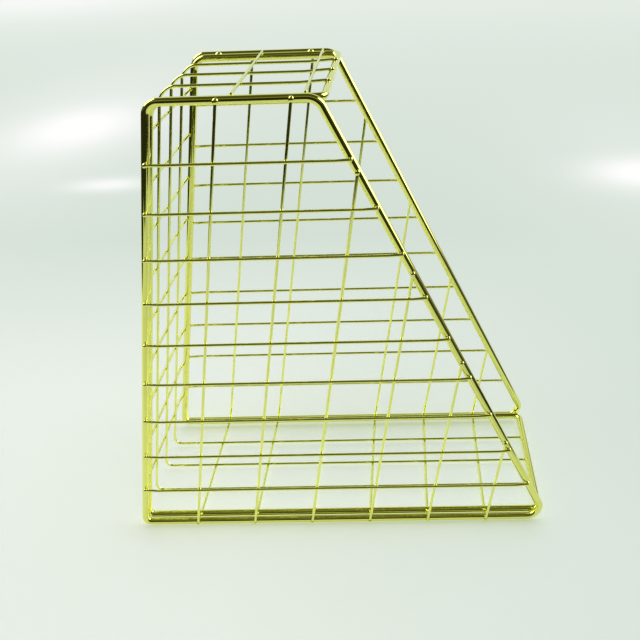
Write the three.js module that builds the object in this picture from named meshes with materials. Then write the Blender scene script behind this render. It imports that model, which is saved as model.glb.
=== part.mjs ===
// A welded wire magazine file. Two mesh side panels with a slanted front edge stand on the table,
// and a bent wire body between them closes the top, the spine and the base with more mesh.
// Millimetres, +X towards the open front, +Y from the near panel to the far one, +Z up.
import * as THREE from "three";

// Wire
const frameWire = 5;
const meshWire = 2;
const weldGap = 0.1;
const wireLap = 1.2;

// Side panels, measured between the centrelines of their frame wires
const panelHeight = 310;
const panelTopDepth = 97;
const panelBaseDepth = 296.5;
const panelSpacing = 126;
const panelBends = { baseBack: 5, topBack: 6.5, topFront: 12, baseFront: 7.5 };

// Side mesh
const columnCount = 6;
const columnFromSpine = 40;
const columnFromFront = 44;
const rowCount = 9;
const rowFromBase = 32.5;
const rowFromTop = 35.5;

// Body, whose frame lies between the two panel frames
const spineInset = 0.7;
const topDrop = 1;
const footClearance = 0.25;
const frontBarInset = 5;
const endBarReach = 3.5;
const endRise = { fromBar: 2.2, run: 6, bend: 4 };
const bodyBends = { endBar: 5, topSpine: 8, baseSpine: 5, frontBar: 6 };

// Body mesh
const lengthwiseCount = 3;
const topCrossCount = 2;
const topCrossFromSpine = 47.5;
const topCrossFromEndBar = 11;
const spineCrossCount = 9;
const spineCrossFromBase = 29;
const spineCrossFromTop = 22;

// Facets
const frameSides = 12;
const meshSides = 8;
const bendSteps = 6;

// Layers counted outwards from the centreline of a frame wire
const firstLayer = frameWire / 2 + weldGap + meshWire / 2;
const secondLayer = firstLayer + meshWire + weldGap;
const innerLayer = firstLayer - meshWire - weldGap;

// Heights and depths that the pieces share, from the panel frame's back and base centrelines
const panelY = panelSpacing / 2;
const bodyY = panelY - frameWire - weldGap;
const bodyBase = firstLayer + meshWire / 2 - frameWire / 2 + footClearance;
const bodyTop = panelHeight - topDrop;
const endBarX = panelTopDepth + endBarReach;
const frontBarX = panelBaseDepth - frontBarInset;

const frameGold = new THREE.MeshStandardMaterial({ color: 0xb9b33c, roughness: 0.18, metalness: 1 });
const meshGold = new THREE.MeshStandardMaterial({ color: 0xc2bb48, roughness: 0.22, metalness: 1 });

// Centrelines of evenly spread wires between two limits.
function spread(count, first, last) {
  const step = count > 1 ? (last - first) / (count - 1) : 0;
  return Array.from({ length: count }, (_, i) => first + i * step);
}

// The points and directions of one bend that rounds a corner of a wire's path.
function bend(before, corner, after, radius) {
  const toBefore = before.clone().sub(corner).normalize();
  const toAfter = after.clone().sub(corner).normalize();
  const half = toBefore.angleTo(toAfter) / 2;
  const start = corner.clone().addScaledVector(toBefore, radius / Math.tan(half));
  const centre = toBefore.clone().add(toAfter).normalize().multiplyScalar(radius / Math.sin(half)).add(corner);
  const axis = toAfter.clone().cross(toBefore).normalize().negate();
  const turn = Math.PI - 2 * half;
  const heading = toBefore.clone().negate();
  return Array.from({ length: bendSteps + 1 }, (_, i) => {
    const swing = new THREE.Quaternion().setFromAxisAngle(axis, -(turn * i) / bendSteps);
    return {
      point: start.clone().sub(centre).applyQuaternion(swing).add(centre),
      heading: heading.clone().applyQuaternion(swing),
    };
  });
}

// The path of a bent wire: its corners, each with a bend radius, closed on itself or with two cut ends.
function wirePath(corners, closed) {
  const count = corners.length;
  const at = (i) => new THREE.Vector3(...corners[(i + count) % count].at);
  return corners.flatMap((corner, i) => {
    const end = !closed && (i === 0 || i === count - 1);
    if (!end) return bend(at(i - 1), at(i), at(i + 1), corner.radius);
    const heading = i === 0 ? at(1).sub(at(0)) : at(i).sub(at(i - 1));
    return [{ point: at(i), heading: heading.normalize() }];
  });
}

// A wire of one diameter along a path. Its flats touch the round wire's surface, so a flat lies
// exactly half a diameter from the centreline on every straight stretch.
function bentWire(corners, diameter, sides, closed) {
  const path = wirePath(corners, closed);
  const radius = diameter / 2 / Math.cos(Math.PI / sides);
  const facet = (2 * Math.PI) / sides;
  const first = path[0].heading;
  const start = new THREE.Vector3(0, 0, 1);
  if (Math.abs(first.z) > 0.9) start.set(1, 0, 0);
  start.addScaledVector(first, -start.dot(first)).normalize();
  let normal = start.clone();
  const positions = [];
  path.forEach(({ point, heading }, i) => {
    if (i > 0) normal.applyQuaternion(new THREE.Quaternion().setFromUnitVectors(path[i - 1].heading, heading));
    const side = heading.clone().cross(normal);
    for (let k = 0; k < sides; k += 1) {
      const angle = (k + 0.5) * facet;
      const vertex = point.clone();
      vertex.addScaledVector(normal, radius * Math.cos(angle)).addScaledVector(side, radius * Math.sin(angle));
      positions.push(...vertex.toArray());
    }
  });
  // Round a closed path the section may have turned by a whole number of facets when it comes back.
  normal.applyQuaternion(new THREE.Quaternion().setFromUnitVectors(path.at(-1).heading, first));
  const turned = Math.atan2(start.clone().cross(normal).dot(first), start.dot(normal));
  const shift = Math.round(turned / facet);
  const index = [];
  const rings = closed ? path.length : path.length - 1;
  for (let i = 0; i < rings; i += 1) {
    const last = i === path.length - 1;
    for (let k = 0; k < sides; k += 1) {
      const next = (k + 1) % sides;
      const here = [i * sides + k, i * sides + next];
      const there = [k, next].map((n) => (last ? (n + shift + sides) % sides : (i + 1) * sides + n));
      index.push(here[0], here[1], there[1], here[0], there[1], there[0]);
    }
  }
  if (!closed) {
    const end = (path.length - 1) * sides;
    for (let k = 1; k < sides - 1; k += 1) index.push(0, k + 1, k, end, end + k, end + k + 1);
  }
  const geometry = new THREE.BufferGeometry();
  geometry.setAttribute("position", new THREE.Float32BufferAttribute(positions, 3));
  geometry.setIndex(index);
  return geometry;
}

function named(name, geometry, material) {
  const mesh = new THREE.Mesh(geometry, material);
  mesh.name = name;
  return mesh;
}

// A straight piece of mesh wire between two points along one axis.
function straightWire(name, from, to) {
  const start = new THREE.Vector3(...from);
  const run = new THREE.Vector3(...to).sub(start);
  const radius = meshWire / 2 / Math.cos(Math.PI / meshSides);
  const geometry = new THREE.CylinderGeometry(
    radius, radius, run.length(), meshSides, 1, false, Math.PI / meshSides,
  );
  const mesh = named(name, geometry, meshGold);
  mesh.position.copy(start).addScaledVector(run, 0.5);
  mesh.quaternion.setFromUnitVectors(new THREE.Vector3(0, 1, 0), run.normalize());
  return mesh;
}

// How deep the panel is at a height, and how high it is at a depth, along the slanted front edge.
const slantRun = panelBaseDepth - panelTopDepth;
const depthAt = (z) => panelBaseDepth - (slantRun * z) / panelHeight;
const heightAt = (x) => Math.min(panelHeight, (panelHeight * (panelBaseDepth - x)) / slantRun);

// One side panel: the closed frame wire, upright wires welded to its outer face, and level wires over them.
function sidePanel(side, outward) {
  const panel = new THREE.Group();
  const y = outward * panelY;
  const frame = [
    { at: [0, y, 0], radius: panelBends.baseBack },
    { at: [0, y, panelHeight], radius: panelBends.topBack },
    { at: [panelTopDepth, y, panelHeight], radius: panelBends.topFront },
    { at: [panelBaseDepth, y, 0], radius: panelBends.baseFront },
  ];
  panel.add(named(`${side}_frame`, bentWire(frame, frameWire, frameSides, true), frameGold));
  const columnY = outward * (panelY + firstLayer);
  spread(columnCount, columnFromSpine, panelBaseDepth - columnFromFront).forEach((x, i) => {
    panel.add(straightWire(`${side}_upright_${i + 1}`, [x, columnY, -wireLap], [x, columnY, heightAt(x) + wireLap]));
  });
  const rowY = outward * (panelY + secondLayer);
  spread(rowCount, rowFromBase, panelHeight - rowFromTop).forEach((z, i) => {
    panel.add(straightWire(`${side}_level_wire_${i + 1}`, [-wireLap, rowY, z], [depthAt(z) + wireLap, rowY, z]));
  });
  return panel;
}

// The body's closed frame wire: the end bar at the top, both sides down the spine, and the front bar.
function bodyFrame() {
  const turn = (x, side, z, radius) => ({ at: [x, side * bodyY, z], radius });
  const oneSide = (side) => [
    turn(endBarX, side, bodyTop, bodyBends.endBar),
    turn(spineInset, side, bodyTop, bodyBends.topSpine),
    turn(spineInset, side, bodyBase, bodyBends.baseSpine),
    turn(frontBarX, side, bodyBase, bodyBends.frontBar),
  ];
  const corners = [...oneSide(1), ...oneSide(-1).reverse()];
  return named("body_frame", bentWire(corners, frameWire, frameSides, true), frameGold);
}

// A wire inside the body's cross wires: from the top of the end bar it steps down under them, then runs
// along the top, down the spine and over the base, and ends against the front bar.
function lengthwiseWire(name, y) {
  const riseX = endBarX - endRise.fromBar;
  const topZ = bodyTop + innerLayer;
  const baseZ = bodyBase - innerLayer;
  const spineX = spineInset - innerLayer;
  const corners = [
    { at: [endBarX + wireLap, y, bodyTop + firstLayer] },
    { at: [riseX, y, bodyTop + firstLayer], radius: endRise.bend },
    { at: [riseX - endRise.run, y, topZ], radius: endRise.bend },
    { at: [spineX, y, topZ], radius: bodyBends.topSpine + innerLayer },
    { at: [spineX, y, baseZ], radius: bodyBends.baseSpine + innerLayer },
    { at: [frontBarX - frameWire / 2 - weldGap, y, baseZ] },
  ];
  return named(name, bentWire(corners, meshWire, meshSides, false), meshGold);
}

// A wire across the body, on the outside of its frame.
function crossWire(name, x, z) {
  const reach = bodyY + wireLap;
  return straightWire(name, [x, -reach, z], [x, reach, z]);
}

function body() {
  const group = new THREE.Group();
  group.add(bodyFrame());
  const lengthwiseStep = (2 * bodyY) / (lengthwiseCount + 1);
  const lengthwiseEdge = bodyY - lengthwiseStep;
  spread(lengthwiseCount, -lengthwiseEdge, lengthwiseEdge).forEach((y, i) => {
    group.add(lengthwiseWire(`lengthwise_wire_${i + 1}`, y));
  });
  spread(topCrossCount, topCrossFromSpine, endBarX - topCrossFromEndBar).forEach((x, i) => {
    group.add(crossWire(`top_cross_wire_${i + 1}`, x, bodyTop + firstLayer));
  });
  spread(spineCrossCount, spineCrossFromBase, panelHeight - spineCrossFromTop).forEach((z, i) => {
    group.add(crossWire(`spine_cross_wire_${i + 1}`, spineInset - firstLayer, z));
  });
  spread(columnCount, columnFromSpine, panelBaseDepth - columnFromFront).forEach((x, i) => {
    group.add(crossWire(`base_cross_wire_${i + 1}`, x, bodyBase - firstLayer));
  });
  return group;
}

const magazineFile = new THREE.Group();
magazineFile.add(sidePanel("near", -1), sidePanel("far", 1), body());

// The origin is on the table, under the middle of the file.
const extent = new THREE.Box3().setFromObject(magazineFile);
const middle = extent.getCenter(new THREE.Vector3());
magazineFile.position.set(-middle.x, -middle.y, -extent.min.z);

export default magazineFile;
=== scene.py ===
import math

import bpy
import numpy as np
from mathutils import Matrix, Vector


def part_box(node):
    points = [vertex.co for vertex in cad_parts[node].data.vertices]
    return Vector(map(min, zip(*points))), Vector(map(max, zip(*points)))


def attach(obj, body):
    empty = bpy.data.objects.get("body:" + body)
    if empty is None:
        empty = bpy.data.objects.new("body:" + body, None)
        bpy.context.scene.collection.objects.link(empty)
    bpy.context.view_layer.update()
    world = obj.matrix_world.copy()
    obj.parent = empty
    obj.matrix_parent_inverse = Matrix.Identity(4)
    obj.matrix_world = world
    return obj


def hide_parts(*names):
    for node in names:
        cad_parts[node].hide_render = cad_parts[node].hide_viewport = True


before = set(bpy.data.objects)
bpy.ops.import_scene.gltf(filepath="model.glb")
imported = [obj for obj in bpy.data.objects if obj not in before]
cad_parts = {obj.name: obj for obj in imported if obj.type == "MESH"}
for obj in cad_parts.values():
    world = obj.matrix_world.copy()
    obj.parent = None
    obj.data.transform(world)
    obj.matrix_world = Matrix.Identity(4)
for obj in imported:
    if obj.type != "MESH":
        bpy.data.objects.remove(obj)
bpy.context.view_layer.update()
print("frame loaded,", len(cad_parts), "wires")

mm = 0.001


# Shapes that the pieces share

def unit(vector):
    return vector / np.linalg.norm(vector)


# A circular arc that rounds a corner. Point = centre + cos t times the way from it to the arc's start + sin t
# times the radius times the incoming direction, and each heading is the derivative of its point.
def cornerArc(before, corner, after, radius, steps=10):
    toBefore = unit(before - corner)
    toAfter = unit(after - corner)
    halfAngle = math.acos(np.clip(toBefore @ toAfter, -1, 1)) / 2
    start = corner + toBefore * radius / math.tan(halfAngle)
    centre = corner + unit(toBefore + toAfter) * radius / math.sin(halfAngle)
    t = np.linspace(0, math.pi - 2 * halfAngle, steps + 1)[:, None]
    points = centre + np.cos(t) * (start - centre) - np.sin(t) * radius * toBefore
    headings = -np.sin(t) * unit(start - centre) - np.cos(t) * toBefore
    return points, headings


# The centreline of a wire: rounded corners with straight runs between them. On a run, point = its start
# + t times the way to its end, with a station every few millimetres.
def wirePath(corners, bends, closed, step=4 * mm):
    corners = np.array(corners, float)
    count = len(corners)
    arcs = []
    for i, corner in enumerate(corners):
        isEnd = not closed and i in (0, count - 1)
        if isEnd:
            heading = unit(corners[1] - corners[0]) if i == 0 else unit(corners[-1] - corners[-2])
            arcs.append((corner[None], heading[None]))
        else:
            arcs.append(cornerArc(corners[i - 1], corner, corners[(i + 1) % count], bends[i]))
    points = []
    headings = []
    for i, (arcPoints, arcHeadings) in enumerate(arcs):
        points.append(arcPoints)
        headings.append(arcHeadings)
        if closed or i < count - 1:
            nextStart = arcs[(i + 1) % count][0][0]
            run = np.linalg.norm(nextStart - arcPoints[-1])
            t = np.linspace(0, 1, max(2, int(run / step)) + 1)[1:-1, None]
            points.append(arcPoints[-1] + t * (nextStart - arcPoints[-1]))
            headings.append(np.repeat(arcHeadings[-1:], len(t), axis=0))
    return np.concatenate(points), np.concatenate(headings)


# Adds a rounded cut to both ends of an open wire, a quarter circle in section before the flat face. At angle
# t a ring lies (1 - sin t) times the rounding from the face, and its radius is smaller by (1 - cos t) times
# the rounding.
def withRoundedEnds(points, headings, radius, rounding, steps=4):
    t = np.linspace(0, math.pi / 2, steps + 1)
    back = rounding * (1 - np.sin(t))
    endRadii = radius - rounding + rounding * np.cos(t)
    first = points[0] + back[::-1, None] * headings[0]
    last = points[-1] - back[:, None] * headings[-1]
    points = np.concatenate([first, points[1:-1], last])
    headings = np.concatenate([
        np.repeat(headings[:1], steps + 1, axis=0),
        headings[1:-1],
        np.repeat(headings[-1:], steps + 1, axis=0),
    ])
    radii = np.concatenate([endRadii[::-1], np.full(len(points) - 2 * steps - 2, radius), endRadii])
    return points, headings, radii


# A round section carried along a path. Each ring's first direction is the last ring's, turned as little as
# the path allows, and the twist left over on a closed path is shared out evenly. Point = centre + the radius
# times (cos a times the first direction + sin a times the second).
def sweepWire(points, headings, radii, sides, closed, steepHeading=0.9):
    count = len(points)
    normals = np.empty((count, 3))
    isSteep = abs(headings[0][2]) >= steepHeading
    guide = np.array([1.0, 0, 0]) if isSteep else np.array([0, 0, 1.0])
    normals[0] = unit(guide - (guide @ headings[0]) * headings[0])
    for i in range(1, count):
        normals[i] = unit(normals[i - 1] - (normals[i - 1] @ headings[i]) * headings[i])
    seconds = np.cross(headings, normals)
    twist = 0.0
    if closed:
        back = unit(normals[-1] - (normals[-1] @ headings[0]) * headings[0])
        twist = math.atan2(back @ seconds[0], back @ normals[0])
    angles = np.arange(sides)[None] * 2 * math.pi / sides - twist * (np.arange(count) / count)[:, None]
    around = np.cos(angles)[..., None] * normals[:, None] + np.sin(angles)[..., None] * seconds[:, None]
    vertices = (points[:, None] + radii[:, None, None] * around).reshape(-1, 3)
    gaps = np.linalg.norm(np.diff(points, axis=0), axis=1)
    length = np.concatenate([[0], np.cumsum(gaps)])
    alongWire = np.concatenate([
        radii[:, None, None] * np.stack([np.cos(angles), np.sin(angles)], axis=-1),
        np.repeat(length[:, None, None], sides, axis=1),
    ], axis=-1).reshape(-1, 3)
    rings = np.arange(count if closed else count - 1)[:, None]
    side = np.arange(sides)
    nextSide = (side + 1) % sides
    ring = rings * sides
    nextRing = (rings + 1) % count * sides
    corners = [ring + side, ring + nextSide, nextRing + nextSide, nextRing + side]
    faces = np.stack(corners, axis=-1).reshape(-1, 4).tolist()
    if not closed:
        faces.append(list(range(sides))[::-1])
        faces.append(list(range((count - 1) * sides, count * sides)))
    return vertices, faces, alongWire


# Puts arrays into a mesh object that rides on the file's one body.
def makePiece(name, vertices, faces, material, alongWire=None, replaced=None):
    mesh = bpy.data.meshes.new(name)
    mesh.from_pydata(vertices.tolist(), [], faces)
    mesh.polygons.foreach_set("use_smooth", np.ones(len(mesh.polygons), bool))
    if alongWire is not None:
        attribute = mesh.attributes.new("alongWire", "FLOAT_VECTOR", "POINT")
        attribute.data.foreach_set("vector", alongWire.ravel())
    mesh.materials.append(material)
    mesh.update()
    piece = bpy.data.objects.new(name, mesh)
    bpy.context.scene.collection.objects.link(piece)
    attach(piece, "root")
    if replaced:
        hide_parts(replaced)


# Shader maths as Python expressions

class Socket:
    def __init__(self, tree, output):
        self.tree = tree
        self.output = output

    def calculate(self, operation, *values):
        node = self.tree.nodes.new("ShaderNodeMath")
        node.operation = operation
        for place, value in enumerate(values):
            if isinstance(value, Socket):
                self.tree.links.new(value.output, node.inputs[place])
            else:
                node.inputs[place].default_value = value
        return Socket(self.tree, node.outputs[0])

    def __add__(self, other):
        return self.calculate("ADD", self, other)

    def __sub__(self, other):
        return self.calculate("SUBTRACT", self, other)

    def __mul__(self, other):
        return self.calculate("MULTIPLY", self, other)

    def __rsub__(self, other):
        return self.calculate("SUBTRACT", other, self)

    __radd__ = __add__
    __rmul__ = __mul__

    def exponential(self):
        return self.calculate("EXPONENT", self)

    def withoutSign(self):
        return self.calculate("ABSOLUTE", self)

    def atLeast(self, limit):
        return self.calculate("MAXIMUM", self, limit)

    def clipped(self):
        return self.calculate("MINIMUM", self.atLeast(0.0), 1.0)


class Finish:
    def __init__(self, name, isWorld=False):
        self.holder = bpy.data.worlds.new(name) if isWorld else bpy.data.materials.new(name)
        self.holder.use_nodes = True
        self.tree = self.holder.node_tree
        self.tree.nodes.clear()

    # Makes any node: its settings go first, then the values or links of its sockets. Returns one output.
    def node(self, kind, settings=None, inputs=None, output=0):
        made = self.tree.nodes.new(kind)
        for key, value in (settings or {}).items():
            setattr(made, key, value)
        for key, value in (inputs or {}).items():
            if isinstance(value, Socket):
                self.tree.links.new(value.output, made.inputs[key])
            else:
                made.inputs[key].default_value = value
        return Socket(self.tree, made.outputs[output]) if len(made.outputs) else None

    # Inputs 6 and 7 of a Mix node are its two colours, and output 2 is the colour that it makes.
    def mixColours(self, factor, first, second, blend="MIX"):
        inputs = {0: factor, 6: first, 7: second}
        return self.node("ShaderNodeMix", {"data_type": "RGBA", "blend_type": blend}, inputs, 2)

    def noise(self, place, scale, detail):
        return self.node("ShaderNodeTexNoise", inputs={"Vector": place, "Scale": scale, "Detail": detail})

    # The share of an area with soft borders. Each limit is a direction, the distance along it at which the
    # area starts, and how fast its share then rises to one.
    def area(self, place, limits):
        share = 1.0
        for towards, start, rise in limits:
            inputs = {0: place, 1: towards}
            along = self.node("ShaderNodeVectorMath", {"operation": "DOT_PRODUCT"}, inputs, "Value")
            share = ((along - start) * rise).clipped() * share
        return share


# Gold finish

goldPlating = {
    "frameColour": (0.845, 0.855, 0.235, 1),
    "meshColour": (0.885, 0.90, 0.30, 1),
    "weldColour": (0.85, 0.84, 0.25, 1),
    "warmColour": (0.74, 0.68, 0.14, 1),  # a warmer gold, in soft clouds
    "warmShare": 0.30,
    "cloudScale": 90,
    "cloudDetail": 2,
    "cloudMiddle": 0.5,
    "cloudContrast": 2.2,
    "cloudLift": 0.2,
    "roughness": 0.05,
    "weldRoughness": 0.10,
    "roughnessChange": 0.035,
    "drawLineScale": (2600, 2600, 60),  # fine across the wire, long along it
    "drawLineDetail": 3,
    "rippleScale": 60,
    "rippleDetail": 1,
    "rippleDepth": 0.022 * mm,
}


# The plating's colour changes in warm clouds. Its roughness follows the clouds and the lines left by drawing
# the wire, half each, and faint ripples bend what it mirrors.
def goldWire(name, colour, roughness):
    finish = Finish(name)
    place = finish.node("ShaderNodeTexCoord", output="Object")
    along = finish.node("ShaderNodeAttribute", {"attribute_name": "alongWire"}, output="Vector")
    stretched = finish.node("ShaderNodeVectorMath", {"operation": "MULTIPLY"}, {
        0: along, 1: goldPlating["drawLineScale"],
    })
    clouds = finish.noise(place, goldPlating["cloudScale"], goldPlating["cloudDetail"])
    drawLines = finish.noise(stretched, 1, goldPlating["drawLineDetail"])
    ripples = finish.noise(place, goldPlating["rippleScale"], goldPlating["rippleDetail"])
    contrasted = (clouds - goldPlating["cloudMiddle"]) * goldPlating["cloudContrast"]
    warmth = (contrasted + goldPlating["cloudLift"]).clipped() * goldPlating["warmShare"]
    base = finish.mixColours(warmth, colour, goldPlating["warmColour"])
    rough = roughness + goldPlating["roughnessChange"] / 2 * (drawLines + clouds)
    bump = finish.node("ShaderNodeBump", inputs={
        "Strength": 1.0, "Distance": goldPlating["rippleDepth"], "Height": ripples,
    })
    shader = finish.node("ShaderNodeBsdfPrincipled", inputs={
        "Base Color": base, "Metallic": 1.0, "Roughness": rough, "Normal": bump,
    })
    finish.node("ShaderNodeOutputMaterial", inputs={"Surface": shader})
    return finish.holder


frameGold = goldWire("polished_gold_frame_wire", goldPlating["frameColour"], goldPlating["roughness"])
meshGold = goldWire("polished_gold_mesh_wire", goldPlating["meshColour"], goldPlating["roughness"])
weldGold = goldWire("plated_weld_metal", goldPlating["weldColour"], goldPlating["weldRoughness"])
print("finishes made")


# Wires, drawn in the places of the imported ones

frameWire = {"radius": 2.5 * mm, "sides": 28, "closed": True, "material": frameGold, "slot": "frame_wire"}
meshWire = {"radius": 1.0 * mm, "sides": 16, "closed": False, "material": meshGold, "slot": "mesh_wire"}
wireEnd = {"lap": 1.2 * mm, "rounding": 0.45 * mm}


def lowHigh(node):
    low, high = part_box(node)
    return np.array(low), np.array(high)


# The two ends of the centreline of a node that lies along an axis.
def middleLine(node, axis):
    low, high = lowHigh(node)
    start = (low + high) / 2
    end = start.copy()
    start[axis] = low[axis]
    end[axis] = high[axis]
    return start, end


def numbered(stem, count):
    return [f"{stem}_{i}" for i in range(1, count + 1)]


def addWire(node, corners, bends, kind):
    points, headings = wirePath(corners, bends, kind["closed"])
    radii = np.full(len(points), kind["radius"])
    if not kind["closed"]:
        points, headings, radii = withRoundedEnds(points, headings, kind["radius"], wireEnd["rounding"])
    vertices, faces, alongWire = sweepWire(points, headings, radii, kind["sides"], kind["closed"])
    makePiece(f"{node}_wire", vertices, faces, kind["material"], alongWire, node)


def addStraightWire(node, start, end):
    addWire(node, [start, end], [0, 0], meshWire)


# Side panels

sidePanel = {
    "uprights": 6,
    "levels": 9,
    "bends": {"baseBack": 5 * mm, "topBack": 6.5 * mm, "topFront": 12 * mm, "baseFront": 7.5 * mm},
    "uprightSunk": 0.9 * mm,  # how far the wires are set into what they are welded to
    "levelSunk": 1.3 * mm,
    "levelEndDrop": 0.9 * mm,
    "levelEndRun": 9 * mm,
    "levelEndBend": 14 * mm,
    "levelBackTrim": 1.9 * mm,
}

panelInward = {"near": 1, "far": -1}  # the way along y to the inside of the file


# The slanted front edge's centreline, from the front ends of two level wires: x falls evenly with height.
def slantLine(side):
    lowEnd = middleLine(f"{side}_level_wire_1", 0)[1]
    highEnd = middleLine(f"{side}_level_wire_{sidePanel['levels']}", 0)[1]
    slope = (highEnd[0] - lowEnd[0]) / (highEnd[2] - lowEnd[2])
    return lambda z: lowEnd[0] - wireEnd["lap"] + slope * (z - lowEnd[2])


# A level wire is set a little into the uprights, and both its ends are drawn down softly to the frame wire.
def addLevelWire(node, inward):
    start, end = middleLine(node, 0)
    start[0] += sidePanel["levelBackTrim"]
    run = unit(end - start) * sidePanel["levelEndRun"]
    middle = inward * sidePanel["levelSunk"]
    tip = inward * (sidePanel["levelSunk"] + sidePanel["levelEndDrop"])
    corners = [start + tip, start + middle + run, end + middle - run, end + tip]
    bend = sidePanel["levelEndBend"]
    addWire(node, corners, [0, bend, bend, 0], meshWire)


def addSidePanel(side):
    low, high = lowHigh(f"{side}_frame")
    y = (low[1] + high[1]) / 2
    back = low[0] + frameWire["radius"]
    base = low[2] + frameWire["radius"]
    top = high[2] - frameWire["radius"]
    frontAt = slantLine(side)
    corners = [(back, y, base), (back, y, top), (frontAt(top), y, top), (frontAt(base), y, base)]
    addWire(f"{side}_frame", corners, list(sidePanel["bends"].values()), frameWire)
    inward = np.array([0, panelInward[side], 0.0])
    sunk = inward * sidePanel["uprightSunk"]
    for node in numbered(f"{side}_upright", sidePanel["uprights"]):
        foot, head = middleLine(node, 2)
        addStraightWire(node, foot + sunk, head + sunk)
    for node in numbered(f"{side}_level_wire", sidePanel["levels"]):
        addLevelWire(node, inward)


addSidePanel("near")
addSidePanel("far")
print("side panels made")


# Body

body = {
    "bends": {"endBar": 5 * mm, "topSpine": 8 * mm, "baseSpine": 5 * mm, "frontBar": 6 * mm},
    "cross": {"top": 2, "spine": 9, "base": 6},
    "crossSunk": 0.5 * mm,
    "lengthwise": 3,
    "endBarFromCross": 11 * mm,
    "endFlat": 1.8 * mm,
    "endRise": 16 * mm,
    "endBend": 24 * mm,
    "endSunk": 1.1 * mm,
}

# Each kind of cross wire has its own way inwards, to the frame wire that it lies on.
crossInward = {"top": (0, 0, -1), "spine": (1, 0, 0), "base": (0, 0, 1)}


def crossWires():
    return [
        (node, np.array(inward)) for place, inward in crossInward.items()
        for node in numbered(f"{place}_cross_wire", body["cross"][place])
    ]


# The end bar's centreline lies a set distance in front of the last cross wire on the top.
def endBarDepth():
    lastCross = middleLine(f"top_cross_wire_{body['cross']['top']}", 1)[0]
    return lastCross[0] + body["endBarFromCross"]


def addBodyFrame():
    low, high = lowHigh("body_frame")
    low = low + frameWire["radius"]
    high = high - frameWire["radius"]
    farSide = [
        (endBarDepth(), high[1], high[2]), (low[0], high[1], high[2]), (low[0], high[1], low[2]),
        (high[0], high[1], low[2]),
    ]
    nearSide = [(x, -y, z) for x, y, z in farSide[::-1]]
    bends = list(body["bends"].values())
    addWire("body_frame", farSide + nearSide, bends + bends[::-1], frameWire)


# A lengthwise wire starts on the end bar, rises to the cross wires of the top, and runs inside all the cross
# wires down the spine and along the base to the front bar.
def addLengthwiseWire(node):
    radius = meshWire["radius"]
    low, high = lowHigh(node)
    y = (low[1] + high[1]) / 2
    spineX = low[0] + radius
    baseZ = low[2] + radius
    topZ = lowHigh("top_cross_wire_1")[0][2] - radius
    endZ = high[2] - radius - body["endSunk"]
    endBarX = endBarDepth()
    flatX = endBarX - body["endFlat"]
    corners = [
        (endBarX + wireEnd["lap"], y, endZ), (flatX, y, endZ), (flatX - body["endRise"], y, topZ),
        (spineX, y, topZ), (spineX, y, baseZ), (high[0], y, baseZ),
    ]
    outside = lowHigh("body_frame")[0][0] + frameWire["radius"] - spineX
    topBend = body["bends"]["topSpine"] + outside
    baseBend = body["bends"]["baseSpine"] + outside
    addWire(node, corners, [0, body["endBend"], body["endBend"], topBend, baseBend, 0], meshWire)


def addBody():
    addBodyFrame()
    for node in numbered("lengthwise_wire", body["lengthwise"]):
        addLengthwiseWire(node)
    for node, inward in crossWires():
        start, end = middleLine(node, 1)
        sunk = inward * body["crossSunk"]
        addStraightWire(node, start + sunk, end + sunk)


addBody()
print("body made")


# Welds

weld = {
    "sides": 8,
    "rings": 5,
    "sizeChange": 0.14,
    "crossing": (1.25 * mm, 0.95 * mm, 1.25 * mm),
    "levelEnd": (1.7 * mm, 1.5 * mm, 1.6 * mm),
    "uprightTop": (2.0 * mm, 1.7 * mm, 2.0 * mm),
    "uprightFoot": (1.5 * mm, 1.3 * mm, 1.5 * mm),
    "crossingBelowTop": 3.6 * mm,
    "barEnd": (1.5 * mm, 1.4 * mm, 1.3 * mm),
    "barSink": 0.9 * mm,
    "crossEnd": (1.0 * mm, 0.9 * mm, 0.9 * mm),
    "tack": (2.4 * mm, 2.3 * mm, 1.8 * mm),
    "tackDrop": 1.9 * mm,
    "tackDepths": (17 * mm, 81 * mm),
}


# A ball of a few dozen faces: rings from pole to pole, x = sin p cos a, y = sin p sin a, z = cos p.
def ballShape():
    sides = weld["sides"]
    rings = weld["rings"]
    p = np.linspace(0, math.pi, rings + 1)[1:-1, None]
    a = np.arange(sides)[None] * 2 * math.pi / sides
    around = np.stack([np.sin(p) * np.cos(a), np.sin(p) * np.sin(a), np.cos(p) + 0 * a], axis=-1)
    around = around.reshape(-1, 3)
    vertices = np.concatenate([around, [(0, 0, 1), (0, 0, -1)]])
    top = len(around)
    bottom = top + 1
    lastRing = (rings - 2) * sides
    faces = []
    for side in range(sides):
        nextSide = (side + 1) % sides
        faces.append([top, side, nextSide])
        faces.append([bottom, lastRing + nextSide, lastRing + side])
        for ring in range(0, lastRing, sides):
            nextRing = ring + sides
            faces.append([ring + side, nextRing + side, nextRing + nextSide, ring + nextSide])
    return vertices, faces


# One piece that holds many weld spots, each a flattened ball of a slightly different size.
def addWelds(name, spots):
    ball, ballFaces = ballShape()
    chance = np.random.default_rng(len(spots))
    vertices = []
    faces = []
    for i, (place, size) in enumerate(spots):
        change = 1 + weld["sizeChange"] * chance.uniform(-1, 1, 3)
        vertices.append(np.array(place) + ball * np.array(size) * change)
        faces.extend([corner + i * len(ball) for corner in face] for face in ballFaces)
    makePiece(name, np.concatenate(vertices), faces, weldGold)


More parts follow.
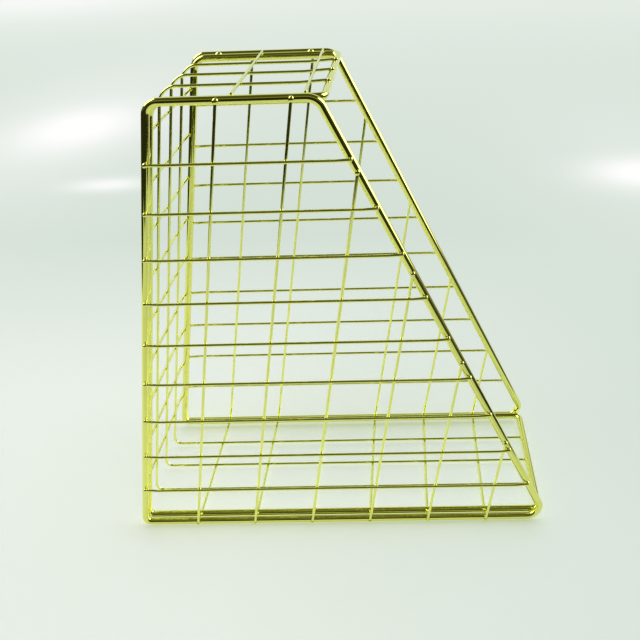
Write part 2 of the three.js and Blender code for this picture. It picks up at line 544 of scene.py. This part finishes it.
# The spots of one side panel: at both ends of every wire, and where a level wire crosses an upright.
def panelSpots(side):
    spots = []
    inward = panelInward[side]
    lap = wireEnd["lap"]
    uprights = [middleLine(node, 2) for node in numbered(f"{side}_upright", sidePanel["uprights"])]
    levels = [middleLine(node, 0) for node in numbered(f"{side}_level_wire", sidePanel["levels"])]
    for foot, head in uprights:
        y = foot[1] + inward * sidePanel["uprightSunk"]
        spots.append(((foot[0], y, foot[2] + lap), weld["uprightFoot"]))
        spots.append(((head[0], y, head[2] - lap), weld["uprightTop"]))
    for back, front in levels:
        y = back[1] + inward * (sidePanel["levelSunk"] + sidePanel["levelEndDrop"])
        spots.append(((back[0] + sidePanel["levelBackTrim"], y, back[2]), weld["levelEnd"]))
        spots.append(((front[0] - lap, y + inward * lap, front[2]), weld["levelEnd"]))
        for foot, head in uprights:
            if back[2] < head[2] - weld["crossingBelowTop"]:
                between = (foot[1] + back[1]) / 2 + inward * sidePanel["levelSunk"]
                spots.append(((foot[0], between, back[2]), weld["crossing"]))
    return spots


# The spots of the body: at the ends of the lengthwise wires, at both ends of every cross wire, and where the
# two kinds cross.
def bodySpots():
    spots = []
    radius = meshWire["radius"]
    overlap = np.array([0, wireEnd["lap"], 0])
    lengthwise = [lowHigh(node) for node in numbered("lengthwise_wire", body["lengthwise"])]
    for low, high in lengthwise:
        y = (low[1] + high[1]) / 2
        spots.append(((endBarDepth(), y, high[2] - radius - weld["barSink"]), weld["barEnd"]))
        spots.append(((high[0], y, low[2] + radius), weld["barEnd"]))
    for node, inward in crossWires():
        start, end = [point + radius * inward for point in middleLine(node, 1)]
        spots.append((start + overlap, weld["crossEnd"]))
        spots.append((end - overlap, weld["crossEnd"]))
        for low, high in lengthwise:
            spots.append(((start[0], (low[1] + high[1]) / 2, start[2]), weld["crossing"]))
    return spots


# The tack welds that hold the body to the side panels lie between the two frame wires of the top: on the far
# side above them, as the photograph shows, and on the near side below.
def tackSpots():
    low, high = lowHigh("far_frame")
    bodyHigh = lowHigh("body_frame")[1]
    y = (low[1] + bodyHigh[1]) / 2
    aboveZ = high[2] - weld["tackDrop"]
    belowZ = high[2] - 2 * frameWire["radius"] + weld["tackDrop"]
    depths = [low[0] + frameWire["radius"] + depth for depth in weld["tackDepths"]]
    return [((x, side * y, z), weld["tack"]) for x in depths for side, z in ((1, aboveZ), (-1, belowZ))]


addWelds("near_panel_welds", panelSpots("near"))
addWelds("far_panel_welds", panelSpots("far"))
addWelds("body_welds", bodySpots())
addWelds("panel_to_body_tacks", tackSpots())
print("welds made")


# Table and studio

# For the camera the table runs on for ever. Mirrored in the wires, it is dimmer in front of the file, and it
# is a sheet with edges, dark beyond them. Its colour also holds painted light: brighter areas, painted lamp
# glows, a painted glow of its own, and painted shadows round the file.
table = {
    "halfWidth": 6.0,
    # The table also glows by itself: a painted glow that stands in for light on it and keeps it pale.
    "paintedGlowShare": 0.58,  # how much of its colour it gives by itself
    # The table's own colour, then a brighter colour of painted light that falls at the near left and far
    # away.
    "dimColour": (0.66, 0.745, 0.685, 1),
    "paintedLightColour": (0.82, 0.872, 0.83, 1),  # at the near left, and far away
    "nearLeft": [((0, -1, 0), -0.47, 2.8), ((-1, 0, 0), -0.333, 2.4)],
    "farAway": [((0, 1, 0), 0.5, 0.5)],
    "farStrength": 0.8,
    # A painted shadow that the file casts on the table under it.
    "paintedShadeColour": (0.89, 0.90, 0.89, 1),  # under the file
    "paintedShade": {"place": (-0.01, 0.05), "width": (0.17, 0.11), "strength": 1.0},
    # A painted shadow in front of the wires that lie on the table, tinted gold as painted bounce light from
    # them.
    "paintedGoldShadowColour": (0.80, 0.825, 0.58, 1),  # in front of the wires that lie on it
    "shadowReach": 8.5 * mm,
    "shadowRise": 400,
    "farShadow": 0.8,
    "frontColour": (0.81, 0.82, 0.76, 1),
    "front": [((0, -1, 0), 0.11, 7)],
    "darkColour": (0.019, 0.020, 0.009, 1),
    "sheetLeft": 0.56,
    "sheetRight": 0.62,
    "sheetFront": 0.68,
    "sheetWidens": 0.5,
    "sheetEdgeRise": 30,
    # Painted lamp light: whitish glows where the lamps shine on the table and are mirrored in it.
    "paintedLampGlowColour": (1.0, 1.0, 1.0, 1),
    "paintedLampGlows": [
        {"place": (0.42, 0.68), "width": (0.085, 0.07), "strength": 1.0},
        {"place": (0.44, 0.72), "width": (0.20, 0.40), "strength": 0.22},
        {"place": (-0.57, 1.02), "width": (0.11, 0.15), "strength": 0.8},
        {"place": (-0.41, 0.69), "width": (0.06, 0.03), "strength": 0.75},
        {"place": (-1.30, 2.85), "width": (0.60, 0.45), "strength": 0.7},
        {"place": (-0.60, 1.02), "width": (0.24, 0.50), "strength": 0.38},
    ],
}


# A soft patch round a place: e to the power of minus the squared distance over the squared width.
def softPatch(x, y, patch):
    across = (x - patch["place"][0]) * (1 / patch["width"][0])
    along = (y - patch["place"][1]) * (1 / patch["width"][1])
    return ((across * across + along * along) * -1).exponential() * patch["strength"]


# The share of the painted shadow in front of the wires that lie on the table, tinted gold as painted bounce
# light from them. It fades as e to the power of minus the distance from the wire over the reach.
def paintedGoldShadow(x, y):
    nearLow, nearHigh = lowHigh("near_frame")
    nearY = nearLow[1] + frameWire["radius"]
    farY = lowHigh("body_frame")[1][1] - frameWire["radius"]
    pastEnd = (x.withoutSign() - float(nearHigh[0]) + table["shadowReach"]).atLeast(0.0)
    share = 0.0
    for wireY, strength in ((nearY, 1.0), (farY, table["farShadow"])):
        inFront = float(wireY) - y
        fading = ((inFront.atLeast(0.0) + pastEnd) * (-1 / table["shadowReach"])).exponential()
        share = fading * (inFront * table["shadowRise"]).clipped() * strength + share
    return share.clipped()


# How far a place lies outside the mirrored sheet, which widens to the back: from 0 to 1 over its soft edges.
def outsideSheet(x, y):
    rise = table["sheetEdgeRise"]
    widening = y.atLeast(0.0) * table["sheetWidens"]
    insideLeft = ((x + table["sheetLeft"] + widening) * rise).clipped()
    insideRight = ((table["sheetRight"] - x + widening) * rise).clipped()
    insideFront = ((y + table["sheetFront"]) * rise).clipped()
    return 1 - insideLeft * insideRight * insideFront


def tableFinish():
    finish = Finish("pale_table")
    place = finish.node("ShaderNodeTexCoord", output="Object")
    x = finish.node("ShaderNodeSeparateXYZ", inputs={0: place}, output="X")
    y = finish.node("ShaderNodeSeparateXYZ", inputs={0: place}, output="Y")
    isGlossy = finish.node("ShaderNodeLightPath", output="Is Glossy Ray")
    # Painted light: the table turns brighter at the near left and far away.
    farAway = finish.area(place, table["farAway"]) * table["farStrength"]
    paintedLightShare = (finish.area(place, table["nearLeft"]) + farAway).clipped()
    colour = finish.mixColours(paintedLightShare, table["dimColour"], table["paintedLightColour"])
    # Painted lamp glows on the table.
    paintedLampGlow = 0.0
    for patch in table["paintedLampGlows"]:
        paintedLampGlow = softPatch(x, y, patch) + paintedLampGlow
    colour = finish.mixColours(paintedLampGlow.clipped(), colour, table["paintedLampGlowColour"])
    # Painted shadow under the file.
    colour = finish.mixColours(softPatch(x, y, table["paintedShade"]), colour, table["paintedShadeColour"], "MULTIPLY")
    # Painted gold-tinted shadow in front of the wires that lie on the table.
    colour = finish.mixColours(paintedGoldShadow(x, y), colour, table["paintedGoldShadowColour"], "MULTIPLY")
    inFront = isGlossy * finish.area(place, table["front"])
    colour = finish.mixColours(inFront, colour, table["frontColour"], "MULTIPLY")
    colour = finish.mixColours(isGlossy * outsideSheet(x, y), colour, table["darkColour"])
    # The emission is the table's painted glow, standing in for light on it.
    shader = finish.node("ShaderNodeBsdfPrincipled", inputs={
        "Base Color": colour, "Roughness": 1.0, "Specular IOR Level": 0.0, "Emission Color": colour,
        "Emission Strength": table["paintedGlowShare"],
    })
    finish.node("ShaderNodeOutputMaterial", inputs={"Surface": shader})
    return finish.holder


def addTable():
    half = table["halfWidth"]
    mesh = bpy.data.meshes.new("table_top")
    corners = [(-half, -half, 0), (half, -half, 0), (half, half, 0), (-half, half, 0)]
    mesh.from_pydata(corners, [], [[0, 1, 2, 3]])
    mesh.materials.append(tableFinish())
    top = bpy.data.objects.new("table_top", mesh)
    bpy.context.scene.collection.objects.link(top)


addTable()

backdropColour = (0.72, 0.79, 0.72, 1)
lampColour = (3.2, 3.3, 3.4, 1)

# What the wires mirror above the table: a dark front first, then areas that each cover the ones before.
studio = {
    "frontColour": (0.016, 0.015, 0.008, 1),
    "areas": {
        "ceiling": {"colour": (0.073, 0.074, 0.022, 1), "limits": [((0, 1, 0), -0.92, 3.0)]},
        "frontStrip": {
            "colour": (0.27, 0.27, 0.10, 1),
            "limits": [((0, 1, 0), -0.84, 12), ((0, -1, 0), 0.58, 12), ((0, 0, 1), 0.35, 8)],
        },
        "rightWall": {
            "colour": (0.26, 0.27, 0.24, 1),
            "limits": [((1, 0, 0), 0.25, 2.5), ((0, 0, -1), -0.55, 4), ((0, 1, 0), -0.02, 5)],
        },
        "backdrop": {
            "colour": backdropColour,
            "limits": [((0, 1, 0), 0.38, 5), ((0, 0, -1), -0.86, 4), ((-1, 0.8, 0), 0, 8)],
        },
        "rightWindow": {
            "colour": lampColour,
            "limits": [
                ((1, 0, 0), 0.52, 8), ((0, 0, 1), 0.14, 20), ((0, 1, 0), -0.28, 8), ((0, -1, 0), -0.72, 8),
            ],
        },
        "leftSoftbox": {"colour": lampColour, "limits": [((-0.747, 0.222, 0.626), 0.90, 60)]},
    },
    "fillColour": (1.0, 1.0, 0.88, 1),  # the weak even light on matt things
    "fillStrength": 0.17,
    "sun": {"towards": (0.10, 0.50, 0.86), "colour": (0.985, 0.99, 1.0), "strength": 0.92, "angle": 85},
}


# The room. Its areas are seen in the wires only; the camera sees the plain backdrop past the table.
def addRoom():
    room = Finish("studio_room", isWorld=True)
    direction = room.node("ShaderNodeTexCoord", output="Generated")
    mirrored = studio["frontColour"]
    for area in studio["areas"].values():
        mirrored = room.mixColours(room.area(direction, area["limits"]), mirrored, area["colour"])
    isCamera = room.node("ShaderNodeLightPath", output="Is Camera Ray")
    isGlossy = room.node("ShaderNodeLightPath", output="Is Glossy Ray")
    isThrough = room.node("ShaderNodeLightPath", output="Is Transmission Ray")
    seen = room.mixColours(isGlossy, backdropColour, mirrored)
    direct = (isCamera + isGlossy + isThrough).clipped()
    colour = room.mixColours(direct, studio["fillColour"], seen)
    strength = direct + (1 - direct) * studio["fillStrength"]
    background = room.node("ShaderNodeBackground", inputs={"Color": colour, "Strength": strength})
    room.node("ShaderNodeOutputWorld", inputs={"Surface": background})
    bpy.context.scene.world = room.holder


# A wide soft light from behind and above gives the table its faint shadows. The wires don't mirror it.
def addSun():
    sun = studio["sun"]
    data = bpy.data.lights.new("soft_back_light", "SUN")
    data.color = sun["colour"]
    data.energy = sun["strength"]
    data.angle = math.radians(sun["angle"])
    away = unit(np.array(sun["towards"]))
    side = unit(np.cross((0, 1, 0), away))
    turn = np.stack([side, np.cross(away, side), away], axis=1)
    light = bpy.data.objects.new("soft_back_light", data)
    light.matrix_world = Matrix(turn.tolist()).to_4x4()
    light.visible_glossy = False
    bpy.context.scene.collection.objects.link(light)


addRoom()
addSun()
print("table, room and light made")


# Camera

# The photograph is slightly sheared, as a picture is when its lens is off to one side, so the camera's
# upright axis leans. The lean stands in the camera's mount, and other views leave it behind.
photoCamera = {
    "fromNearCorner": (127.4 * mm, -458.3 * mm, 423.5 * mm),
    "turn": -1.797,  # degrees, as the next two
    "downward": 29.125,
    "roll": -2.127,
    "lean": -0.1549,
    "focalPixels": 812.7,
    "framePixels": 640,
    "sensorWidth": 36,
    "nearestSeen": 10 * mm,
}


def addCamera():
    turn, downward, roll = [math.radians(photoCamera[name]) for name in ("turn", "downward", "roll")]
    forward = np.array([
        math.sin(turn) * math.cos(downward), math.cos(turn) * math.cos(downward), -math.sin(downward),
    ])
    level = np.array([math.cos(turn), -math.sin(turn), 0])
    upright = np.cross(level, forward)
    right = math.cos(roll) * level + math.sin(roll) * upright
    up = -math.sin(roll) * level + math.cos(roll) * upright
    leaning = unit(up + photoCamera["lean"] * right)
    pose = Matrix(np.stack([right, leaning, -forward], axis=1).tolist()).to_4x4()
    low, high = lowHigh("near_frame")
    radius = frameWire["radius"]
    nearCorner = np.array([low[0] + radius, (low[1] + high[1]) / 2, low[2] + radius])
    pose.translation = (nearCorner + photoCamera["fromNearCorner"]).tolist()
    data = bpy.data.cameras.new("photo_camera")
    data.sensor_width = photoCamera["sensorWidth"]
    data.lens = photoCamera["focalPixels"] * data.sensor_width / photoCamera["framePixels"]
    data.clip_start = photoCamera["nearestSeen"]
    camera = bpy.data.objects.new("photo_camera", data)
    mount = bpy.data.objects.new("camera_mount", None)
    for item in (camera, mount):
        bpy.context.scene.collection.objects.link(item)
    camera.parent = mount
    camera.matrix_parent_inverse = pose
    bpy.context.scene.camera = camera


addCamera()
bpy.context.scene.view_settings.view_transform = "Standard"
bpy.context.view_layer.update()
print("camera made")
